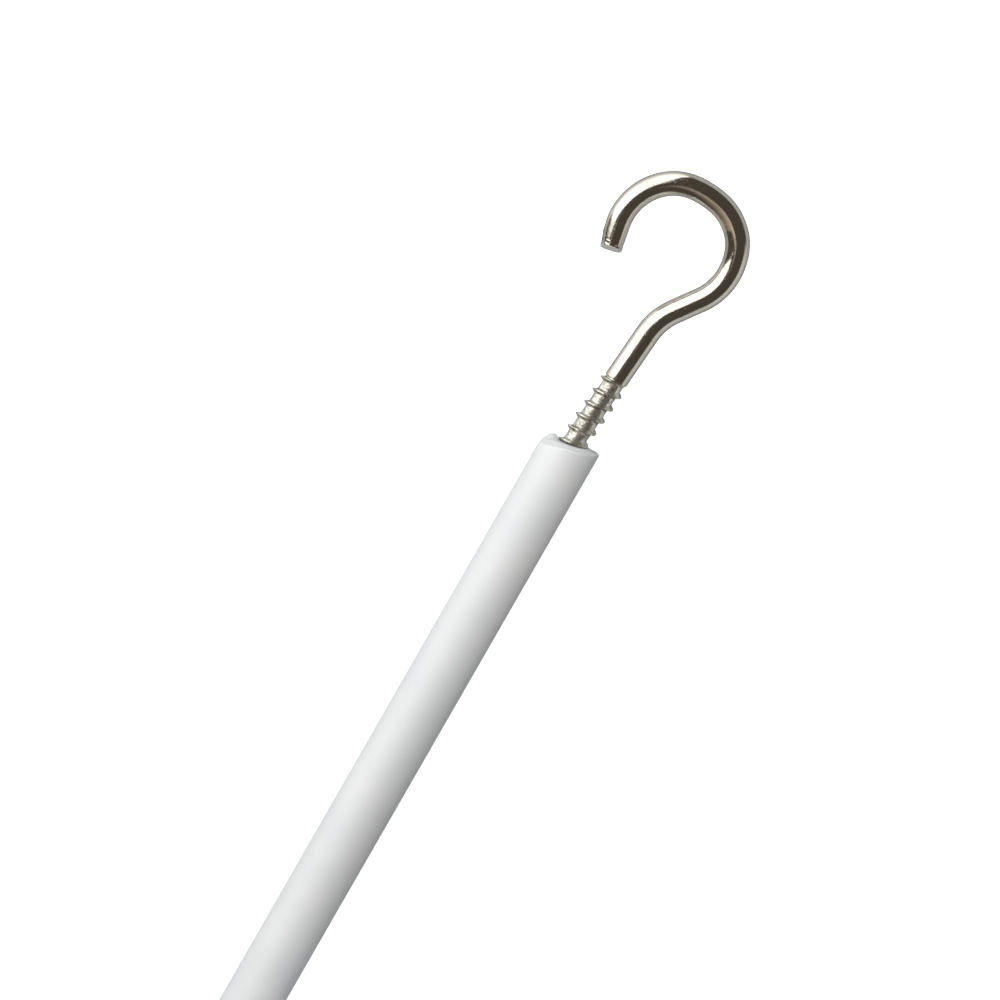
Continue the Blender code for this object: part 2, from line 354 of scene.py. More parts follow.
# Thread and mouth.
def thread_root(distance):
    """How thick the wire is under the thread, and how high its crest stands."""
    taper = min(1.0, max(0.0, (distance + INSERTED) / POINT_LENGTH))
    fade = eased(distance, EXPOSED_THREAD, EXPOSED_THREAD + THREAD_FADE)
    root = mix(mix(POINT_R, ROOT_R, taper), WIRE_R, fade)
    return root, (CREST_R - ROOT_R) * taper * (1 - fade)


def thread_radius(distance, angle):
    """Round wire with a right-handed crest that rises sharply once a turn."""
    root, height = thread_root(distance)
    turn = distance / THREAD_PITCH - angle / (2 * math.pi) - CREST_PHASE
    from_crest = abs((turn + 0.5) % 1.0 - 0.5) * THREAD_PITCH
    flank = (CREST_FOOT - from_crest) / (CREST_FOOT - CREST_FLAT)
    return root + height * min(1.0, max(0.0, flank)) ** FLANK_CURVE


def mouth_rings():
    """Rings from deep in the bore to outside the sleeve: (distance, radius by angle, share of the skew)."""
    rings = [(-SLEEVE_END_LENGTH, lambda a: BORE_BOTTOM_R, 0.0), (-SLEEVE_END_LENGTH, lambda a: BORE_R, 0.0)]
    rings.append((-SKEW_REACH, lambda a: BORE_R, 0.0))
    rings.append((-TAPPED_DEPTH - BORE_TAPER, lambda a: BORE_R, BORE_SKEW))
    for n in range(TAPPED_RINGS + 1):
        z = -TAPPED_DEPTH * (1 - n / TAPPED_RINGS) - TAPPED_END
        rings.append((z, lambda a, z=z: thread_radius(z, a) + TAPPED_GAP, 1.0))
    for share, off in LIP_RINGS:
        rings.append((share * LIP_RAISED, lambda a, gap=off * MM: thread_radius(0, a) + gap, 1.0))
    face = LINE_R - FACE_ROUND
    for share in FACE_RINGS:
        height = LIP_RAISED * (1 - eased(share, 0.1, 0.9))
        rings.append((height, lambda a, t=share: mix(CREST_R, face, t), 1.0))
    for n in range(FACE_ROUND_STEPS + 1):
        turn = math.pi / 2 * n / FACE_ROUND_STEPS
        r = face + FACE_ROUND * math.sin(turn)
        rings.append((-FACE_ROUND * (1 - math.cos(turn)), lambda a, r=r: r, 1.0))
    for depth in SIDE_RINGS_MM:
        rings.append((-depth * MM, lambda a: LINE_R, 1 - eased(depth * MM / SKEW_REACH)))
    return rings


def burr(distance, radius, angle):
    """How far the rim stands out here."""
    off = (angle - BURR_AT + math.pi) % (2 * math.pi) - math.pi
    outer = eased(radius, BURR_FROM * LINE_R, BURR_FULL * LINE_R) * eased(distance, -BURR_DEPTH, 0)
    rim = eased(radius, PRESSED_FROM * LINE_R, LINE_R) * eased(distance, -PRESSED_DEPTH, 0)
    pressed = PRESSED * rim * max(0.0, math.sin(angle)) ** 2
    return BURR_HEIGHT * outer * math.exp(-((off / BURR_WIDTH) ** 2)) - pressed


def mouth_points(mouth, side):
    """The rings of one end, outermost last. Side is 1 at the near end and -1 at the far one."""
    made = []
    for distance, radius, skewed in mouth_rings():
        ring = []
        for k in range(LINE_SIDES):
            angle = side * 2 * math.pi * k / LINE_SIDES
            r = radius(angle)
            x, y = r * math.cos(angle), r * math.sin(angle)
            z = distance - math.tan(CUT_SKEW) * y * skewed
            z += FACE_UNEVEN * skewed * noise.noise(Vector((x, y, 0)) * FACE_GRAIN)
            z += burr(distance, r, angle)
            ring.append(mouth + Vector((z, y, -x)))
        made.append(ring)
    return made


def route_rings(points, trim):
    """Rings round the route, apart from its first and last stretch, which the mouths cover."""
    rings = []
    near, far = points[0], points[-1]
    for n in range(1, len(points) - 1):
        point = points[n]
        if (point - near).length < trim or (point - far).length < trim:
            continue
        ahead = (points[n + 1] - points[n - 1]).normalized()
        side = ahead.cross(Vector((0, 0, 1))).normalized()
        up = side.cross(ahead)
        ring = []
        for k in range(LINE_SIDES):
            angle = 2 * math.pi * k / LINE_SIDES
            ring.append(point + LINE_R * (math.sin(angle) * side - math.cos(angle) * up))
        rings.append(ring)
    return rings


def loft(name, rings, cap_first=True, cap_last=True):
    """One closed skin through rings of equally many points."""
    shape = bmesh.new()
    made = [[shape.verts.new(point) for point in ring] for ring in rings]
    for low, high in zip(made, made[1:]):
        count = len(low)
        for k in range(count):
            after = (k + 1) % count
            shape.faces.new((low[k], low[after], high[after], high[k]))
    if cap_first:
        shape.faces.new(list(reversed(made[0])))
    if cap_last:
        shape.faces.new(made[-1])
    bmesh.ops.recalc_face_normals(shape, faces=shape.faces)
    mesh = bpy.data.meshes.new(name)
    shape.to_mesh(mesh)
    shape.free()
    mesh.shade_smooth()
    return mesh


def add_line(material):
    points = line_route()
    near = mouth_points(NEAR_MOUTH, 1)
    far = mouth_points(FAR_MOUTH, -1)
    rings = near + route_rings(points, SKEW_REACH) + list(reversed(far))
    line = link(bpy.data.objects.new("line", loft("line", rings)))
    line.data.materials.append(material)
    line.data.set_sharp_from_angle(angle=LINE_EDGE)
    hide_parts("near_sleeve_end", "near_run", "line_hank", "far_run", "far_sleeve_end")
    return line, points


# The hooks.
class Path:
    """A flat path in the YZ plane of straight runs and arcs, as stations: (point, heading, distance)."""

    def __init__(self, start):
        self.stations = [(Vector((0, 0, start)), 0.0, start)]

    def run(self, length, step):
        point, heading, distance = self.stations[-1]
        ahead = Vector((0, -math.sin(heading), math.cos(heading)))
        pieces = max(1, round(length / step))
        for n in range(1, pieces + 1):
            gone = length * n / pieces
            self.stations.append((point + ahead * gone, heading, distance + gone))

    def arc(self, radius, turn, step):
        """Turns towards -Y when turn is positive."""
        point, first, distance = self.stations[-1]
        side = math.copysign(radius, turn)
        pieces = max(1, round(radius * abs(turn) / step))
        for n in range(1, pieces + 1):
            heading = first + turn * n / pieces
            across = side * (math.cos(first) - math.cos(heading))
            along = side * (math.sin(heading) - math.sin(first))
            gone = radius * abs(turn) * n / pieces
            self.stations.append((point + Vector((0, -across, along)), heading, distance + gone))


def hook_path():
    """The hook's centreline, from the point of its screw to its tip."""
    fine = THREAD_PITCH / HOOK_SIDES
    bend_half = LEAN_BEND_R * LEAN / 2
    path = Path(-INSERTED)
    path.run(INSERTED - bend_half, fine)
    path.arc(LEAN_BEND_R, LEAN, fine)
    path.run(EXPOSED_THREAD + THREAD_FADE - bend_half, fine)
    path.run(SHANK_TOP - EXPOSED_THREAD - THREAD_FADE, SHANK_STEP)
    path.arc(SHOULDER_R, SHOULDER_TURN, SHANK_STEP)
    path.run(SHOULDER_RUN, SHANK_STEP)
    path.arc(LOOP_R, -LOOP_TURN, SHANK_STEP)
    path.run(TIP_RUN, TIP_STEP)
    return path.stations


def dent(from_tip, angle):
    """How far the wire's surface is knocked in at this place."""
    flat = (angle - FLAT_AT + math.pi) % (2 * math.pi) - math.pi
    depth = FLAT_DEPTH * (1 - eased(from_tip, 0, FLAT_REACH)) * math.exp(-((flat / FLAT_WIDTH) ** 2))
    for back, facing, size, deep in NICKS:
        along = (from_tip - back * MM) / (size * MM)
        off = (angle - math.radians(facing) + math.pi) % (2 * math.pi) - math.pi
        around = off * WIRE_R / (size * MM)
        depth += deep * MM * math.exp(-(along * along + around * around))
    return depth


def off_round(distance):
    """How far the wire is off its true curve here, towards the inside of the loop."""
    off = 0.0
    for at, reach, inwards in OFF_ROUND:
        off += inwards * math.exp(-(((distance - at * MM) / (reach * MM)) ** 2))
    return off * MM


def hook_surface(distance, angle, from_tip):
    """The wire's radius, with the small unevenness of drawn wire and of a rolled thread."""
    r = thread_radius(distance, angle)
    place = Vector((math.cos(angle), math.sin(angle), distance / WIRE_R))
    if distance < EXPOSED_THREAD:
        return r + THREAD_UNEVEN * noise.noise(place * THREAD_GRAIN)
    ragged = TIP_UNEVEN * (1 - eased(from_tip, 0, FLAT_REACH))
    uneven = WIRE_UNEVEN * noise.noise(place * WIRE_GRAIN) + ragged * noise.noise(place * TIP_GRAIN)
    return r + uneven - dent(from_tip, angle)


def hook_mesh(nickel, cut_steel):
    """The bent wire with its thread and its sheared tip. Both hooks share it."""
    stations = hook_path()
    last = stations[-1][2]
    rings = []
    drawn = []
    for point, heading, distance in stations:
        ahead = Vector((0, -math.sin(heading), math.cos(heading)))
        across = Vector((0, math.cos(heading), math.sin(heading)))
        cut = max(0.0, (distance - last) / SHEAR_REACH + 1)
        point = point + across * off_round(distance)
        ring = []
        for k in range(HOOK_SIDES):
            angle = 2 * math.pi * k / HOOK_SIDES
            outward = Vector((math.cos(angle), 0, 0)) + across * math.sin(angle)
            back = SHEAR * (1 - math.cos(angle)) / 2 * cut
            r = hook_surface(distance, angle, last - distance)
            ring.append(point + outward * r - ahead * back)
            drawn.append(Vector((WIRE_R * math.cos(angle), WIRE_R * math.sin(angle), distance)))
        rings.append(ring)
    middle = sum(rings[-1], Vector()) / HOOK_SIDES
    rim = rings[-1]
    for share, sink in TIP_FACE:
        face = [middle + (p - middle) * share for p in rim]
        rough = [TIP_FACE_UNEVEN_MM * noise.noise(p * TIP_FACE_GRAIN) for p in face]
        rings.append([p - ahead * (sink + up) * MM for p, up in zip(face, rough)])
        drawn += [Vector((p.x * share, p.y * share, last)) for p in drawn[:HOOK_SIDES]]
    mesh = loft("hook", rings)
    straight = mesh.attributes.new(STRAIGHTENED, "FLOAT_VECTOR", "POINT")
    straight.data.foreach_set("vector", [number for place in drawn for number in place])
    mesh.materials.append(nickel)
    mesh.materials.append(cut_steel)
    tip_faces = HOOK_SIDES * len(TIP_FACE)
    side_faces = HOOK_SIDES * (len(rings) - 1)
    for face in mesh.polygons[side_faces - tip_faces:]:
        face.material_index = 1
    mesh.polygons[side_faces].material_index = 0
    mesh.set_sharp_from_angle(angle=HOOK_EDGE)
    return mesh


def add_hook(side, mouth, mesh):
    hook = link(bpy.data.objects.new(side + "_screw_hook", mesh), Matrix.Translation(mouth) @ ALONG_X)
    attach(hook, side + "_hook")
    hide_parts(side + "_hook")
    return hook


def wire_mesh(name, points, radius, sides):
    """Round wire through the points, closed at both ends."""
    rings = []
    for n, point in enumerate(points):
        ahead = (points[min(n + 1, len(points) - 1)] - points[max(n - 1, 0)]).normalized()
        side = ahead.cross(Vector((0, 0, 1))).normalized()
        up = side.cross(ahead)
        turns = [2 * math.pi * k / sides for k in range(sides)]
        rings.append([point + radius * (math.cos(a) * side + math.sin(a) * up) for a in turns])
    return loft(name, rings)


def spring_points():
    """Turns that hold the thread between them, half a turn from its crest, then closer turns deeper in."""
    grip_turns = (SPRING_START - SPRING_GRIP_END) / THREAD_PITCH
    close_turns = (SPRING_GRIP_END - SPRING_END) / SPRING_CLOSE_PITCH
    start_angle = 2 * math.pi * (SPRING_START / THREAD_PITCH - CREST_PHASE + 0.5)
    points = []
    for n in range(round((grip_turns + close_turns) * SPRING_STEPS) + 1):
        turns = n / SPRING_STEPS
        angle = start_angle - 2 * math.pi * turns
        gripped = min(turns, grip_turns)
        z = SPRING_START - gripped * THREAD_PITCH - (turns - gripped) * SPRING_CLOSE_PITCH
        points.append(Vector((SPRING_R * math.cos(angle), SPRING_R * math.sin(angle), z)))
    return points


def add_spring(side, mouth, mesh, body):
    spring = link(bpy.data.objects.new(side + "_spring", mesh), Matrix.Translation(mouth) @ ALONG_X)
    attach(spring, body)
    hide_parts(side + "_spring_end")
    return spring


# The ties. Each band is pulled taut over the strands, a little off its line, and its section is thin wings
# either side of a ribbed wire.
TIE_HALF_WIDTH = 2.0 * MM
TIE_WING = 0.22 * MM
TIE_RIB = 0.3 * MM
TIE_RIB_WIDTH = 0.45 * MM
TIE_CLEAR = 0.03 * MM
TIE_WANDER = 0.25 * MM
TIE_WANDER_GRAIN = 120
TIE_STEP = 0.6 * MM
TIE_EDGE = math.radians(45)
STRAND_STEPS = 24
SECTION_STEPS = 14

# A tie's tails start near the band's edge and clear of the strands. They part over the root's share, from a
# first share of their full distance, and are twisted together over most of their length. Last come how flat
# the splayed ends lie, and how much smaller the tails' section is than the band's.
TAIL_TURNS = 3.5
TAIL_LENGTH = 11 * MM
TAIL_R = 0.62 * MM
TAIL_STEPS = 90
TAIL_FROM = 0.8
TAIL_CLEAR = 0.2 * MM
TWISTED = 0.8
ROOT_SHARE = 0.06
ROOT_APART = 0.2
SPLAY = math.radians(40)
SPLAYED_FLAT = 0.15
TAIL_THINNED = 0.8
TAIL_NARROWED = 0.42


def strands_at(points, x, low_y, high_y):
    """Where the line crosses this X, as (Y, Z) pairs."""
    found = []
    for a, b in zip(points, points[1:]):
        if (a.x - x) * (b.x - x) < 0 and low_y < a.y < high_y:
            share = (x - a.x) / (b.x - a.x)
            found.append((mix(a.y, b.y, share), mix(a.z, b.z, share)))
    return found


def wrapped(centres, radius):
    """The taut outline round circles of this radius, as a convex polygon, counter-clockwise."""
    turns = [2 * math.pi * k / STRAND_STEPS for k in range(STRAND_STEPS)]
    dots = sorted((y + radius * math.cos(a), z + radius * math.sin(a)) for y, z in centres for a in turns)

    def half(points):
        chain = []
        for p in points:
            while len(chain) > 1 and turn_of(chain[-2], chain[-1], p) <= 0:
                chain.pop()
            chain.append(p)
        return chain[:-1]

    return half(dots) + half(list(reversed(dots)))


def turn_of(a, b, c):
    return (b[0] - a[0]) * (c[1] - a[1]) - (b[1] - a[1]) * (c[0] - a[0])


def evenly(outline, step):
    """Points at even steps round a closed outline."""
    closed = outline + outline[:1]
    lengths = [math.dist(a, b) for a, b in zip(closed, closed[1:])]
    count = round(sum(lengths) / step)
    points = []
    for n in range(count):
        left = sum(lengths) * n / count
        index = 0
        while left > lengths[index]:
            left -= lengths[index]
            index += 1
        share = left / lengths[index]
        a, b = closed[index], closed[index + 1]
        points.append((mix(a[0], b[0], share), mix(a[1], b[1], share)))
    return points


def band_profile():
    """Points round the band's section, as (place across the band, height over its inner face)."""
    top = []
    for n in range(SECTION_STEPS + 1):
        across = mix(-TIE_HALF_WIDTH, TIE_HALF_WIDTH, n / SECTION_STEPS)
        top.append((across, TIE_WING + TIE_RIB * math.exp(-((across / TIE_RIB_WIDTH) ** 2))))
    return top + [(TIE_HALF_WIDTH, 0), (0, 0), (-TIE_HALF_WIDTH, 0)]


def band_mesh(name, outline):
    """The tie's flat band round the bundle."""
    shape = bmesh.new()
    rings = []
    count = len(outline)
    for n, (y, z) in enumerate(outline):
        before, after = outline[n - 1], outline[(n + 1) % count]
        along = Vector((0, after[0] - before[0], after[1] - before[1])).normalized()
        out = along.cross(Vector((1, 0, 0))) * -1
        wander = TIE_WANDER * noise.noise(Vector((y, z, 0)) * TIE_WANDER_GRAIN)
        ring = [Vector((TIE_X + x + wander, y, z)) - out * (h + TIE_CLEAR) for x, h in band_profile()]
        rings.append([shape.verts.new(p) for p in ring])
    rings.append(rings[0])
    for low, high in zip(rings, rings[1:]):
        for k in range(len(low)):
            after = (k + 1) % len(low)
            shape.faces.new((low[k], low[after], high[after], high[k]))
    bmesh.ops.recalc_face_normals(shape, faces=shape.faces)
    mesh = bpy.data.meshes.new(name)
    shape.to_mesh(mesh)
    shape.free()
    mesh.shade_smooth()
    mesh.set_sharp_from_angle(angle=TIE_EDGE)
    return mesh


def tail_mesh(name, start, phase):
    """One of the tie's two ends: it twists round the other, then splays out."""
    rings = []
    splayed = 1 - TWISTED
    for n in range(TAIL_STEPS + 1):
        share = n / TAIL_STEPS
        angle = phase + 2 * math.pi * TAIL_TURNS * min(1, share / TWISTED)
        loose = max(0.0, share - TWISTED) / splayed
        reach = TAIL_R * min(1, share / ROOT_SHARE + ROOT_APART)
        reach += loose * splayed * TAIL_LENGTH * math.tan(SPLAY)
        along = start + Vector((TAIL_LENGTH * share, 0, 0))
        out = Vector((0, math.cos(angle), math.sin(angle)))
        if loose:
            out = Vector((0, math.cos(angle), SPLAYED_FLAT * math.sin(angle))).normalized()
        side = Vector((0, -out.z, out.y))
        ring = []
        for across, height in band_profile():
            raised = reach + (height - TIE_WING) * TAIL_THINNED
            ring.append(along + out * raised + side * across * TAIL_NARROWED)
        rings.append(ring)
    return loft(name, rings)


def add_tie(name, node, points, low_y, high_y, material):
    centres = strands_at(points, TIE_X, low_y, high_y)
    outline = evenly(wrapped(centres, LINE_R), TIE_STEP)
    band = link(bpy.data.objects.new(name, band_mesh(name, outline)))
    high = max(z for y, z in centres) + LINE_R
    middle = sum(y for y, z in centres) / len(centres)
    start = Vector((TIE_X + TAIL_FROM * TIE_HALF_WIDTH, middle, high + TAIL_R + TIE_WING + TAIL_CLEAR))
    for number, phase in ((1, 0.0), (2, math.pi)):
        tail_name = f"{name}_tail_{number}"
        tail = link(bpy.data.objects.new(tail_name, tail_mesh(tail_name, start, phase)))
        tail.data.materials.append(material)
        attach(tail, "line")
    band.data.materials.append(material)
    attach(band, "line")
    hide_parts(node)


# Materials.
EDGE_TINT = (0.25, 0.24, 0.22, 1)


def add_node(tree, kind, inputs=(), **settings):
    """A node with these settings. An input is a value, or the output that feeds it."""
    node = tree.nodes.new(kind)
    for name, value in settings.items():
        setattr(node, name, value)
    for socket, value in dict(inputs).items():
        if isinstance(value, bpy.types.NodeSocket):
            tree.links.new(value, node.inputs[socket])
        else:
            node.inputs[socket].default_value = value
    return node


def new_material(name):
    material = bpy.data.materials.new(name)
    material.use_nodes = True
    tree = material.node_tree
    place = tree.nodes.new("ShaderNodeTexCoord").outputs["Object"]
    return material, tree, tree.nodes["Principled BSDF"], place


def noise_of(tree, place, scale, detail=3.0, roughness=0.5, stretch=None):
    if stretch:
        place = add_node(tree, "ShaderNodeMapping", {"Vector": place, "Scale": stretch}).outputs["Vector"]
    inputs = {"Vector": place, "Scale": scale, "Detail": detail, "Roughness": roughness}
    return add_node(tree, "ShaderNodeTexNoise", inputs).outputs["Fac"]


def ranged(tree, value, low, high, to_low, to_high):
    inputs = {"Value": value, "From Min": low, "From Max": high, "To Min": to_low, "To Max": to_high}
    return add_node(tree, "ShaderNodeMapRange", inputs).outputs["Result"]


def blended(tree, share, first, second):
    """One colour or the other by share. Sockets 6 and 7 are the Mix node's colour inputs."""
    node = add_node(tree, "ShaderNodeMix", {0: share, 6: first, 7: second}, data_type="RGBA")
    return node.outputs[2]


def bumped(tree, height, strength, distance, under=None):
    inputs = {"Height": height, "Strength": strength, "Distance": distance}
    if under:
        inputs["Normal"] = under
    return add_node(tree, "ShaderNodeBump", inputs).outputs["Normal"]


def facing(tree, direction, turn):
    """How far the direction points this way round the horizon."""
    inputs = {0: direction, 1: (math.cos(turn), math.sin(turn), 0)}
    return add_node(tree, "ShaderNodeVectorMath", inputs, operation="DOT_PRODUCT").outputs["Value"]


def times(tree, first, second):
    return add_node(tree, "ShaderNodeMath", {0: first, 1: second}, operation="MULTIPLY").outputs[0]


def sleeve_material():
    """White extruded PVC: faint cool and warm mottling, slight haze in its gloss and a few rubbed spots."""
    material, tree, shader, place = new_material("white_sleeve")
    mottle = noise_of(tree, place, 230, 3)
    cloud = noise_of(tree, place, 60, 2)
    rubbed = noise_of(tree, place, 900, 4, 0.6)
    cool, warm = (0.785, 0.815, 0.835, 1), (0.825, 0.84, 0.85, 1)
    clouded, grimy = (0.77, 0.81, 0.835, 1), (0.60, 0.60, 0.58, 1)
    white = blended(tree, ranged(tree, mottle, 0.35, 0.65, 0, 1), cool, warm)
    white = blended(tree, ranged(tree, cloud, 0.4, 0.7, 0, 0.5), white, clouded)
    white = blended(tree, ranged(tree, rubbed, 0.66, 0.78, 0, 0.22), white, grimy)
    tree.links.new(white, shader.inputs["Base Color"])
    tree.links.new(ranged(tree, mottle, 0.3, 0.7, 0.36, 0.48), shader.inputs["Roughness"])
    fine = bumped(tree, rubbed, 0.12, 0.03 * MM)
    wavy = bumped(tree, cloud, 0.25, 0.12 * MM, fine)
    tree.links.new(wavy, shader.inputs["Normal"])
    shader.inputs["Specular IOR Level"].default_value = 0.45
    return material


def nickel_material():
    """Bright nickel plate: mirror-like on the wire, with drawn streaks and pits, duller over the thread."""
    material, tree, shader, _ = new_material("nickel_wire")
    wire = add_node(tree, "ShaderNodeAttribute", attribute_name=STRAIGHTENED).outputs["Vector"]
    along = add_node(tree, "ShaderNodeSeparateXYZ", {"Vector": wire}).outputs["Z"]
    on_thread = ranged(tree, along, EXPOSED_THREAD - 0.1 * MM, EXPOSED_THREAD + 0.4 * MM, 1, 0)
    grain = noise_of(tree, wire, 2600, 4, 0.6)
    haze = noise_of(tree, wire, 500, 4, 0.6)
    streaks = noise_of(tree, wire, 3000, 3, 0.6, (1, 1, 0.12))
    pits = noise_of(tree, wire, 5200, 2, 0.7)
    plate, stain, scored = (0.73, 0.695, 0.62, 1), (0.57, 0.515, 0.425, 1), (0.50, 0.46, 0.40, 1)
    pale, dark = (0.95, 0.94, 0.87, 1), (0.52, 0.50, 0.42, 1)
    bright = blended(tree, ranged(tree, haze, 0.45, 0.75, 0, 0.5), plate, stain)
    bright = blended(tree, ranged(tree, streaks, 0.55, 0.75, 0, 0.35), bright, scored)
    dull = blended(tree, ranged(tree, grain, 0.38, 0.62, 0, 1), pale, dark)
    tree.links.new(blended(tree, on_thread, bright, dull), shader.inputs["Base Color"])
    smooth = ranged(tree, haze, 0.35, 0.72, 0.06, 0.19)
    rough = ranged(tree, grain, 0.3, 0.7, 0.10, 0.26)
    inputs = {0: on_thread, 2: smooth, 3: rough}
    tree.links.new(add_node(tree, "ShaderNodeMix", inputs).outputs[0], shader.inputs["Roughness"])
    marks = bumped(tree, ranged(tree, pits, 0.6, 0.78, 0, 1), 0.2, 0.02 * MM)
    drawn = bumped(tree, streaks, 0.2, 0.02 * MM, marks)
    worn = add_node(tree, "ShaderNodeBump", {"Height": grain, "Distance": 0.06 * MM, "Normal": drawn})
    tree.links.new(ranged(tree, on_thread, 0, 1, 0.05, 0.6), worn.inputs["Strength"])
    tree.links.new(worn.outputs["Normal"], shader.inputs["Normal"])
    tree.links.new(ranged(tree, on_thread, 0, 1, 1, 0.9), shader.inputs["Metallic"])
    shader.inputs["Specular Tint"].default_value = EDGE_TINT
    return material


def cut_steel_material():
    """The face where the hook's tip was sheared: torn steel, pale and dull, so it hardly mirrors."""
    material, tree, shader, place = new_material("cut_steel")
    grain = noise_of(tree, place, 3200, 4, 0.6, (1, 4, 1))
    pale, shaded = (0.96, 0.96, 0.95, 1), (0.78, 0.77, 0.75, 1)
    colour = blended(tree, ranged(tree, grain, 0.35, 0.7, 0, 1), pale, shaded)
    tree.links.new(colour, shader.inputs["Base Color"])
    tree.links.new(ranged(tree, grain, 0.3, 0.7, 0.38, 0.55), shader.inputs["Roughness"])
    tree.links.new(bumped(tree, grain, 0.5, 0.06 * MM), shader.inputs["Normal"])
    shader.inputs["Metallic"].default_value = 0.12
    return material


def spring_material():
    """Drawn spring wire, dark grey with a little oil."""
    material, tree, shader, place = new_material("spring_steel")
    grain = noise_of(tree, place, 1800, 4, 0.6)
    grey, oiled = (0.48, 0.48, 0.47, 1), (0.30, 0.30, 0.30, 1)
    colour = blended(tree, ranged(tree, grain, 0.35, 0.65, 0, 1), grey, oiled)
    tree.links.new(colour, shader.inputs["Base Color"])
    tree.links.new(ranged(tree, grain, 0.3, 0.7, 0.25, 0.42), shader.inputs["Roughness"])
    tree.links.new(bumped(tree, grain, 0.2, 0.03 * MM), shader.inputs["Normal"])
    shader.inputs["Metallic"].default_value = 1.0
    return material


def tie_material():
    """White plastic-coated tie, with the fine cross creases that bending leaves, each darkened with painted
    shade.
    """
    material, tree, shader, place = new_material("tie_plastic")
    creases = noise_of(tree, place, 900, 3, 0.5, (0.15, 1, 1))
    cloud = noise_of(tree, place, 300, 3)
    white, dim, painted_crease_shade = (0.84, 0.84, 0.82, 1), (0.77, 0.77, 0.745, 1), (0.55, 0.55, 0.53, 1)
    colour = blended(tree, ranged(tree, cloud, 0.35, 0.65, 0, 1), white, dim)
    # Painted shade: the creases get a darker colour as well as their real bump and roughness.
    colour = blended(tree, ranged(tree, creases, 0.58, 0.75, 0, 0.4), colour, painted_crease_shade)
    tree.links.new(colour, shader.inputs["Base Color"])
    tree.links.new(ranged(tree, creases, 0.3, 0.7, 0.42, 0.6), shader.inputs["Roughness"])
    tree.links.new(bumped(tree, creases, 0.5, 0.08 * MM), shader.inputs["Normal"])
    return material


# The studio: a tall soft light beside the hook, an overhead fill, and a dim room. The soft light is two in
# one: a plain one that only lights, and a flagged one that only shows in reflections.
SOFTBOX_TURN = math.radians(64)
SOFTBOX_HALF_TURN = math.radians(48)
SOFTBOX_TOP = math.radians(75)
SOFTBOX_AWAY = 0.35
SOFTBOX_RADIANCE = 1.63

# Flags trim what reflections show of the softbox. Each hides the part that is past its edge: the edge's place
# across the softbox where it meets the floor, how far it leans by the softbox's top, and which side it
# hides. The flagged light stands a little ahead, since two lights in one plane hide each other.
SOFTBOX_FLAGS = [(1.19, -1.1, 1), (-0.46, -0.72, -1), (-2.25, 1.8, -1)]
FLAG_BLUR = 0.03
FLAG_BOW = 0.5
FLAGGED_AHEAD = 0.005
FILL_ALONG = 40 * MM
FILL_ABOVE = 0.2
FILL_SIZE = 0.1
FILL_WATTS = 0.18

# The floor: half its width, its glow where it is seen, and its glow where it is mirrored.
FLOOR_HALF = 6
FLOOR_GLOW = 1.15
FLOOR_SHEEN = 0.15
FLOOR_GLOW_COLOUR = (0.88, 0.94, 1, 1)

# The room, and its two walls: which way each lies from the object.
ROOM_COLOUR = (0.075, 0.064, 0.052, 1)
PALE_WALL_TURN = math.radians(-110)
PALE_WALL_COLOUR = (0.62, 0.62, 0.61, 1)
TAN_WALL_TURN = math.radians(150)
TAN_WALL_COLOUR = (0.72, 0.61, 0.48, 1)


def add_floor():
    """A pale sheet with a gloss, lifted to white where it is seen and a little where it is mirrored."""
    shape = bmesh.new()
    bmesh.ops.create_grid(shape, x_segments=1, y_segments=1, size=FLOOR_HALF)
    mesh = bpy.data.meshes.new("floor")
    shape.to_mesh(mesh)
    shape.free()
    floor = link(bpy.data.objects.new("floor", mesh))
    material, tree, shader, place = new_material("pale_floor")
    paper = noise_of(tree, place, 40, 4)
    tone = blended(tree, paper, (0.49, 0.49, 0.49, 1), (0.51, 0.51, 0.51, 1))
    tree.links.new(tone, shader.inputs["Base Color"])
    shader.inputs["Roughness"].default_value = 0.12
    shader.inputs["Specular IOR Level"].default_value = 1.0
    shader.inputs["Emission Color"].default_value = FLOOR_GLOW_COLOUR
    ray = tree.nodes.new("ShaderNodeLightPath")
    mirrored = times(tree, ray.outputs["Is Glossy Ray"], FLOOR_SHEEN)
    inputs = {0: ray.outputs["Is Camera Ray"], 1: FLOOR_GLOW, 2: mirrored}
    glow = add_node(tree, "ShaderNodeMath", inputs, operation="MULTIPLY_ADD").outputs[0]
    tree.links.new(glow, shader.inputs["Emission Strength"])
    mesh.materials.append(material)


def add_area_light(name, width, height, watts, place, towards):
    """A rectangular light at a place. Its back faces along towards."""
    data = bpy.data.lights.new(name, "AREA")
    data.shape = "RECTANGLE"
    data.size, data.size_y = width, height
    data.energy = watts
    turn = towards.to_track_quat("Z", "Y").to_matrix().to_4x4()
    light = link(bpy.data.objects.new(name, data), Matrix.Translation(place) @ turn)
    light.visible_camera = False
    return light


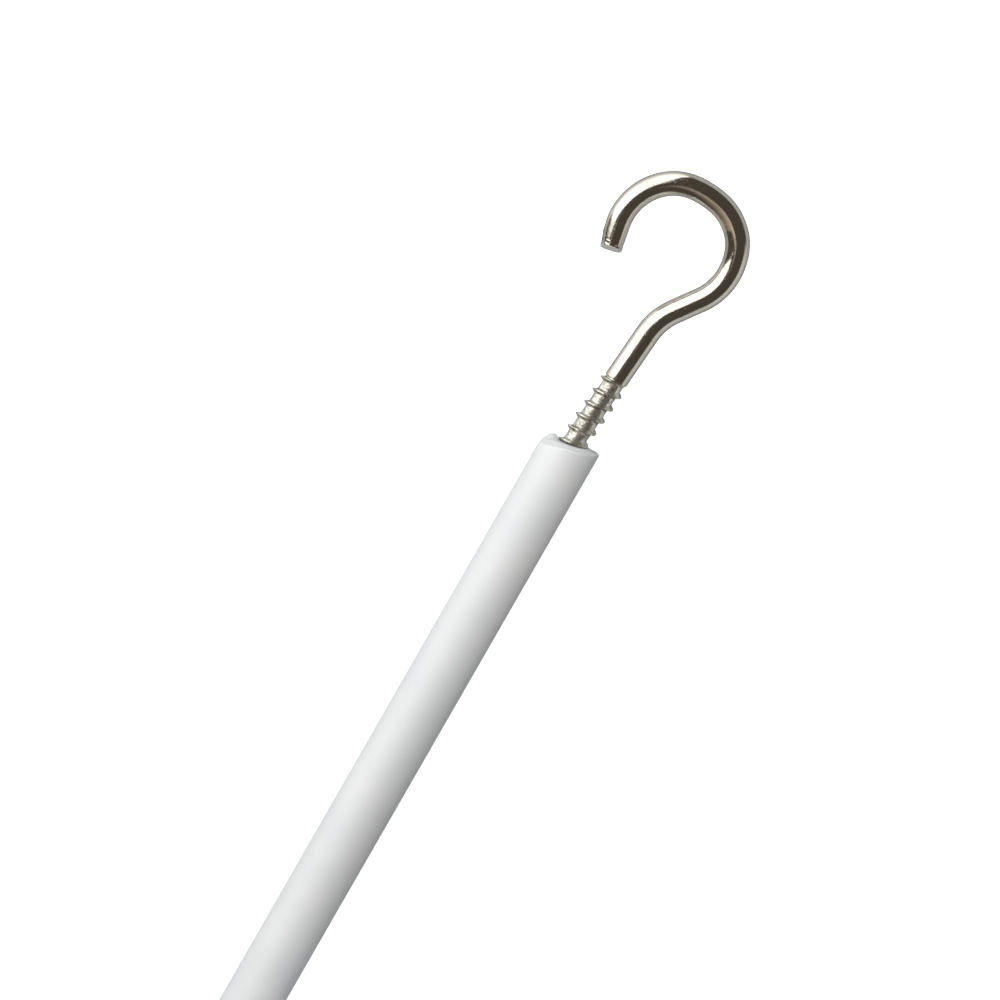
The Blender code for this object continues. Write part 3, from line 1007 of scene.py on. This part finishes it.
def flag_softbox(light, middle, across, width, height):
    """Darkens the softbox past each flag's edge. The edges bow, as straight ones do in a close reflection."""
    light.data.use_nodes = True
    tree = light.data.node_tree
    emission = tree.nodes["Emission"]
    position = tree.nodes.new("ShaderNodeNewGeometry").outputs["Position"]
    inputs = {0: position, 1: middle}
    offset = add_node(tree, "ShaderNodeVectorMath", inputs, operation="SUBTRACT").outputs["Vector"]
    inputs = {0: offset, 1: across * 2 / width}
    side = add_node(tree, "ShaderNodeVectorMath", inputs, operation="DOT_PRODUCT").outputs["Value"]
    z = add_node(tree, "ShaderNodeSeparateXYZ", {"Vector": position}).outputs["Z"]
    share = ranged(tree, z, 0, height, 0, 1)
    bowed = add_node(tree, "ShaderNodeMath", {0: share, 1: FLAG_BOW}, operation="POWER").outputs[0]
    strength = None
    for foot, lean, hidden in SOFTBOX_FLAGS:
        inputs = {0: bowed, 1: lean, 2: foot}
        edge = add_node(tree, "ShaderNodeMath", inputs, operation="MULTIPLY_ADD").outputs[0]
        past = add_node(tree, "ShaderNodeMath", {0: side, 1: edge}, operation="SUBTRACT").outputs[0]
        clear = ranged(tree, past, -FLAG_BLUR * hidden, FLAG_BLUR * hidden, 1, 0)
        strength = times(tree, strength, clear) if strength else clear
    tree.links.new(strength, emission.inputs["Strength"])


def add_lights():
    width = 2 * SOFTBOX_AWAY * math.tan(SOFTBOX_HALF_TURN)
    height = SOFTBOX_AWAY * math.tan(SOFTBOX_TOP)
    away = Vector((math.cos(SOFTBOX_TURN), math.sin(SOFTBOX_TURN), 0))
    across = away.cross(Vector((0, 0, 1)))
    middle = NEAR_MOUTH + away * SOFTBOX_AWAY + Vector((0, 0, height / 2))
    watts = SOFTBOX_RADIANCE * math.pi * width * height
    softbox = add_area_light("Softbox", width, height, watts, middle, away)
    softbox.visible_glossy = False
    in_front = middle - away * FLAGGED_AHEAD
    flagged = add_area_light("Flagged_softbox", width, height, watts, in_front, away)
    flagged.visible_diffuse = False
    flag_softbox(flagged, middle, across, width, height)
    above = Vector((0, 0, 1))
    over_hook = NEAR_MOUTH + Vector((FILL_ALONG, 0, FILL_ABOVE))
    fill = add_area_light("Fill", FILL_SIZE, FILL_SIZE, FILL_WATTS, over_hook, above)
    fill.visible_glossy = False


def add_surroundings():
    """A dim warm room, with a pale wall low on one side and a tan one behind the line."""
    world = bpy.data.worlds.new("Studio")
    world.use_nodes = True
    tree = world.node_tree
    direction = tree.nodes.new("ShaderNodeTexCoord").outputs["Generated"]
    height = add_node(tree, "ShaderNodeSeparateXYZ", {"Vector": direction}).outputs["Z"]
    low = ranged(tree, height, 0.24, 0.34, 1, 0)
    pale = times(tree, low, ranged(tree, facing(tree, direction, PALE_WALL_TURN), 0.65, 0.85, 0, 1))
    behind = facing(tree, direction, TAN_WALL_TURN)
    beside = facing(tree, direction, TAN_WALL_TURN - math.pi / 2)
    near_edge = ranged(tree, behind, 0.17, 0.27, 0, 1)
    fade = ranged(tree, behind, 0.25, 0.9, 1, 0.3)
    sides = times(tree, ranged(tree, beside, 0.08, 0.13, 1, 0), ranged(tree, beside, -0.45, 0.0, 0, 1))
    tan = times(tree, times(tree, near_edge, fade), sides)
    colour = blended(tree, tan, ROOM_COLOUR, TAN_WALL_COLOUR)
    colour = blended(tree, pale, colour, PALE_WALL_COLOUR)
    tree.links.new(colour, tree.nodes["Background"].inputs["Color"])
    bpy.context.scene.world = world


def main():
    add_camera()
    sleeve = sleeve_material()
    nickel = nickel_material()
    steel = spring_material()
    tie = tie_material()
    line, points = add_line(sleeve)
    hook_shape = hook_mesh(nickel, cut_steel_material())
    spring_shape = wire_mesh("spring", spring_points(), SPRING_WIRE_R, SPRING_SIDES)
    spring_shape.materials.append(steel)
    add_hook("near", NEAR_MOUTH, hook_shape)
    far_hook = add_hook("far", FAR_MOUTH, hook_shape)
    add_spring("near", NEAR_MOUTH, spring_shape, "near_end")
    far_spring = add_spring("far", FAR_MOUTH, spring_shape, "line")
    add_tie("near_twist_tie", "near_tie", points, HANK_Y, NEAR_MOUTH.y + LINE_R, tie)
    add_tie("far_twist_tie", "far_tie", points, FAR_MOUTH.y - LINE_R, HANK_Y, tie)
    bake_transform(line)
    add_floor()
    add_lights()
    add_surroundings()
    bpy.context.scene.view_settings.view_transform = "Standard"


main()
